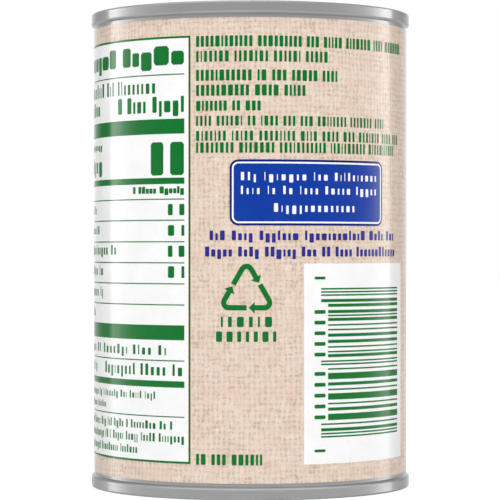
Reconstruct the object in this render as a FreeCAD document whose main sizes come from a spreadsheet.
"""A shut food tin of tomato paste: a straight steel body, two double-seamed ends and a paper label.

The tin stands on the crown of its lower seam. The origin is the middle of that seam's foot, +Z points up
through the tin, and the back of the label, with the nutrition table and the bar code, faces -Y. Both ends are
the same pressing: a rolled seam whose lower edge turns in to the body, a chuck wall that runs in to a
countersink groove, and a panel with sunk expansion rings. It is drawn as it lies at the foot, and turned over
for the top. The body is solid, because a shut tin can't be seen into. It flares out a little where it meets
each seam, and its two faces follow the undersides of the ends. The label is a paper sleeve whose last few
millimetres lap over its first. All sizes are in millimetres.
"""
import FreeCAD, Part
import Sketcher
import os

DRIVING_SIZES = {
    "can_height": (101.2, "overall, over both seams"),
    "body_diameter": (67.3, "outside of the steel body, under the label"),
    "steel_thickness": (0.2, "tinplate of the body and of the ends"),
    "seam_height": (2.5, "a double seam, from its crown to its lower edge"),
    "seam_thickness": (1.05, "a double seam, from the chuck wall to its outer face"),
    "crown_round": (0.35, "both edges of the seam's crown"),
    "hook_height": (0.25, "lowest part of the seam's face, which turns in towards the body"),
    "hook_round": (0.4, "bend where the seam's face turns in"),
    "flare_out": (0.35, "the body flares out by this much where it meets a seam"),
    "flare_height": (0.2, "height of the body's flare under a seam"),
    "countersink_drop": (0.8, "the countersink groove lies this far below the seam's lower edge"),
    "countersink_width": (1.3, "flat floor of the countersink groove"),
    "panel_lift": (0.7, "the panel stands this far above the groove"),
    "ring_depth": (0.45, "an expansion ring is sunk this far into the panel"),
    "ring_width": (2.4, "flat floor of a sunk ring"),
    "ring_spacing": (2.4, "flat land outside each sunk ring"),
    "bend_round": (0.3, "bends of the pressed panel"),
    "label_thickness": (0.1, "label paper"),
    "label_gap": (0.65, "straight bare steel between a flare and the label's edge"),
    "label_lap": (8.0, "the label's end laps over its start by this much"),
    "lap_bearing": (105.0, "degrees from -Y towards +X at which the lap starts"),
}
RING_COUNT = 2

SEAM_RADIUS = "Sizes.body_diameter / 2 - 2 * Sizes.steel_thickness + Sizes.seam_thickness"
CHUCK_RADIUS = "Sizes.body_diameter / 2 - 2 * Sizes.steel_thickness"
BODY_RADIUS = "Sizes.body_diameter / 2"
BODY_INSIDE = "Sizes.body_diameter / 2 - Sizes.steel_thickness"
FLARE_RADIUS = "Sizes.body_diameter / 2 + Sizes.flare_out"
COUNTERSINK_DEPTH = "Sizes.seam_height + Sizes.countersink_drop"
GROOVE_BACK_DEPTH = "Sizes.seam_height + Sizes.countersink_drop + Sizes.steel_thickness"
LABEL_RADIUS = "Sizes.body_diameter / 2 + Sizes.label_thickness"
LAP_RADIUS = "Sizes.body_diameter / 2 + 2 * Sizes.label_thickness"
LABEL_FOOT = "Sizes.seam_height + Sizes.flare_height + Sizes.label_gap"
LABEL_HEIGHT = "Sizes.can_height - 2 * (Sizes.seam_height + Sizes.flare_height + Sizes.label_gap)"
PLACE_TOLERANCE = 1e-4


def add_sizes(doc):
    """The spreadsheet of driving dimensions, one named cell each."""
    sheet = doc.addObject("Spreadsheet::Sheet", "Sizes")
    for row, (name, (value, note)) in enumerate(DRIVING_SIZES.items(), start=1):
        sheet.set(f"A{row}", name)
        sheet.set(f"B{row}", str(value))
        sheet.set(f"C{row}", note)
        sheet.setAlias(f"B{row}", name)
    doc.recompute()
    return sheet


def value_of(doc, expression):
    """The number that an expression on the spreadsheet gives."""
    return float(doc.getObject("Sizes").evalExpression(expression))


def origin_feature(body, role):
    """One of a body's own origin planes or axes."""
    return next(f for f in body.Origin.OriginFeatures if f.Role == role)


def pin_to(sketch, line, axis, expression, number):
    """Sets one coordinate of a line's start: on the origin axis if it is zero, else at a named distance."""
    kind, axis_line = {"X": ("DistanceX", -2), "Y": ("DistanceY", -1)}[axis]
    if expression == "0":
        sketch.addConstraint(Sketcher.Constraint("PointOnObject", line, 1, axis_line))
        return
    index = sketch.addConstraint(Sketcher.Constraint(kind, -1, 1, line, 1, number))
    name = f"{axis.lower()}_of_corner_{line}"
    sketch.renameConstraint(index, name)
    sketch.setExpression(f"Constraints.{name}", expression)


def outline_sketch(doc, body, name, corners):
    """A closed outline of straight lines in the body's XZ plane. A corner is (radius, height) as expressions."""
    sketch = body.newObject("Sketcher::SketchObject", name)
    sketch.AttachmentSupport = (origin_feature(body, "XZ_Plane"), [""])
    sketch.MapMode = "FlatFace"
    numbers = [(value_of(doc, r), value_of(doc, z)) for r, z in corners]
    points = [FreeCAD.Vector(r, z, 0) for r, z in numbers]
    count = len(points)
    sketch.addGeometry([Part.LineSegment(points[i], points[(i + 1) % count]) for i in range(count)], False)
    for i in range(count):
        sketch.addConstraint(Sketcher.Constraint("Coincident", i, 2, (i + 1) % count, 1))
    for i, ((radius, height), (r, z)) in enumerate(zip(corners, numbers)):
        pin_to(sketch, i, "X", radius, r)
        pin_to(sketch, i, "Y", height, z)
    return sketch


def revolve(body, name, sketch, angle=None):
    """Turns an outline about the body's Z axis, by a full turn or by the expression angle."""
    turned = body.newObject("PartDesign::Revolution", name)
    turned.Profile = sketch
    turned.ReferenceAxis = (sketch, ["V_Axis"])
    turned.Angle = 360.0
    if angle:
        turned.setExpression("Angle", angle)
    sketch.Visibility = False
    return turned


def circles_at(doc, shape, corners):
    """Names of the circular edges that pass through the corners, given as (radius, height) expressions."""
    found = []
    for radius, height in corners:
        r, z = value_of(doc, radius), value_of(doc, height)
        for number, edge in enumerate(shape.Edges, start=1):
            curve = edge.Curve
            if not isinstance(curve, Part.Circle):
                continue
            if abs(curve.Radius - r) < PLACE_TOLERANCE and abs(curve.Center.z - z) < PLACE_TOLERANCE:
                found.append(f"Edge{number}")
    return found


def round_corners(doc, body, name, corners, radius):
    """Fillets the circular edges at the corners."""
    doc.recompute()
    base = body.Tip
    fillet = body.newObject("PartDesign::Fillet", name)
    fillet.Base = (base, circles_at(doc, base.Shape, corners))
    fillet.setExpression("Radius", radius)
    return fillet


def pressed_corners(sheet_side):
    """Corners of the pressed panel from the groove to its middle, measured from the seam's crown into the tin.

    sheet_side is "0" on the outside of the sheet, or "Sizes.steel_thickness" on its underside. Each wall slopes
    at 45 degrees, so on the underside its corners move along by lean, which keeps the sheet's thickness.
    """
    lean = f"tan(22.5 deg) * {sheet_side}"
    groove = f"{COUNTERSINK_DEPTH} + {sheet_side}"
    land = f"{groove} - Sizes.panel_lift"
    sunk = f"{land} + Sizes.ring_depth"
    radius = f"{CHUCK_RADIUS} - Sizes.countersink_width"
    corners = [(f"{radius} - {lean}", groove)]
    radius += " - Sizes.panel_lift"
    corners.append((f"{radius} - {lean}", land))
    for _ in range(RING_COUNT):
        radius += " - Sizes.ring_spacing"
        corners.append((f"{radius} + {lean}", land))
        radius += " - Sizes.ring_depth"
        corners.append((f"{radius} + {lean}", sunk))
        radius += " - Sizes.ring_width"
        corners.append((f"{radius} - {lean}", sunk))
        radius += " - Sizes.ring_depth"
        corners.append((f"{radius} - {lean}", land))
    return corners


def make_end(doc, name):
    """A can end in its seamed form, crown at height 0 and the panel above it, as it lies at the tin's foot."""
    body = doc.addObject("PartDesign::Body", name)
    body.Label = name
    outside = pressed_corners("0")
    underside = pressed_corners("Sizes.steel_thickness")
    seat = (BODY_INSIDE, "Sizes.seam_height")
    lower_edge = (FLARE_RADIUS, "Sizes.seam_height")
    hook = (SEAM_RADIUS, "Sizes.seam_height - Sizes.hook_height")
    crown = [(SEAM_RADIUS, "0"), (CHUCK_RADIUS, "0")]
    groove_wall = (CHUCK_RADIUS, COUNTERSINK_DEPTH)
    groove_back = (BODY_INSIDE, GROOVE_BACK_DEPTH)
    middle = [("0", outside[-1][1]), ("0", underside[-1][1])]
    corners = [seat, lower_edge, hook, *crown, groove_wall, *outside, *middle, *reversed(underside), groove_back]
    sketch = outline_sketch(doc, body, f"{name}_outline", corners)
    revolve(body, f"{name}_pressing", sketch)
    round_corners(doc, body, f"{name}_crown", crown, "Sizes.crown_round")
    round_corners(doc, body, f"{name}_hook", [hook], "Sizes.hook_round")
    bends = [groove_wall, *outside, *underside, groove_back]
    round_corners(doc, body, f"{name}_bends", bends, "Sizes.bend_round")
    return body


def make_body(doc, name):
    """The steel body with its contents, one solid, up to the undersides of both ends."""
    body = doc.addObject("PartDesign::Body", name)
    body.Label = name
    inner = pressed_corners("Sizes.steel_thickness")
    groove_back = (BODY_INSIDE, GROOVE_BACK_DEPTH)
    lower = [
        ("0", inner[-1][1]),
        *reversed(inner),
        groove_back,
        (BODY_INSIDE, "Sizes.seam_height"),
        (FLARE_RADIUS, "Sizes.seam_height"),
        (BODY_RADIUS, "Sizes.seam_height + Sizes.flare_height"),
    ]
    upper = [(r, f"Sizes.can_height - ({z})") for r, z in reversed(lower)]
    sketch = outline_sketch(doc, body, f"{name}_outline", lower + upper)
    revolve(body, f"{name}_turned", sketch)
    lower_bends = [*inner, groove_back]
    upper_bends = [(r, f"Sizes.can_height - ({z})") for r, z in lower_bends]
    round_corners(doc, body, f"{name}_bends", lower_bends + upper_bends, "Sizes.bend_round")
    return body


def make_label(doc, name):
    """The paper label: a sleeve on the body, one layer thicker where its end laps over its start."""
    body = doc.addObject("PartDesign::Body", name)
    body.Label = name
    sleeve = [(BODY_RADIUS, "0"), (LABEL_RADIUS, "0"), (LABEL_RADIUS, LABEL_HEIGHT), (BODY_RADIUS, LABEL_HEIGHT)]
    revolve(body, f"{name}_sleeve", outline_sketch(doc, body, f"{name}_sleeve_outline", sleeve))
    lap = [(BODY_RADIUS, "0"), (LAP_RADIUS, "0"), (LAP_RADIUS, LABEL_HEIGHT), (BODY_RADIUS, LABEL_HEIGHT)]
    lap_sketch = outline_sketch(doc, body, f"{name}_lap_outline", lap)
    revolve(body, f"{name}_lap", lap_sketch, f"180 / pi * Sizes.label_lap / ({LABEL_RADIUS})")
    body.setExpression("Placement.Base.z", LABEL_FOOT)
    body.setExpression("Placement.Rotation.Angle", "Sizes.lap_bearing - 90")
    return body


def turn_over(body):
    """Turns an end over and lifts it to the top of the tin."""
    body.Placement = FreeCAD.Placement(FreeCAD.Vector(0, 0, 0), FreeCAD.Rotation(FreeCAD.Vector(1, 0, 0), 180))
    body.setExpression("Placement.Base.z", "Sizes.can_height")


def check(doc, bodies):
    """Stops if any object of the document failed or any sub-part isn't one valid solid."""
    for item in doc.Objects:
        if {"Invalid", "Error"} & set(item.State):
            raise RuntimeError(f"{item.Name} failed: {item.State}")
    for body in bodies:
        shape = body.Shape
        if shape.isNull() or not shape.isValid() or len(shape.Solids) != 1:
            raise RuntimeError(f"{body.Label} is not one valid solid")


def main():
    doc = FreeCAD.newDocument("TomatoPasteTin")
    add_sizes(doc)
    top_end = make_end(doc, "top_end")
    turn_over(top_end)
    bodies = [make_body(doc, "can_body"), top_end, make_end(doc, "bottom_end"), make_label(doc, "label")]
    doc.recompute()
    check(doc, bodies)
    os.makedirs("parts", exist_ok=True)
    for body in bodies:
        body.Shape.exportStep(f"parts/{body.Label}.step")
        box = body.Shape.optimalBoundingBox(False, False)
        print(f"{body.Label}: {box.XLength:.2f} x {box.YLength:.2f} x {box.ZLength:.2f} mm, "
              f"z {box.ZMin:.2f} to {box.ZMax:.2f}, {body.Shape.Volume:.1f} mm3, {len(body.Shape.Faces)} faces")


main()
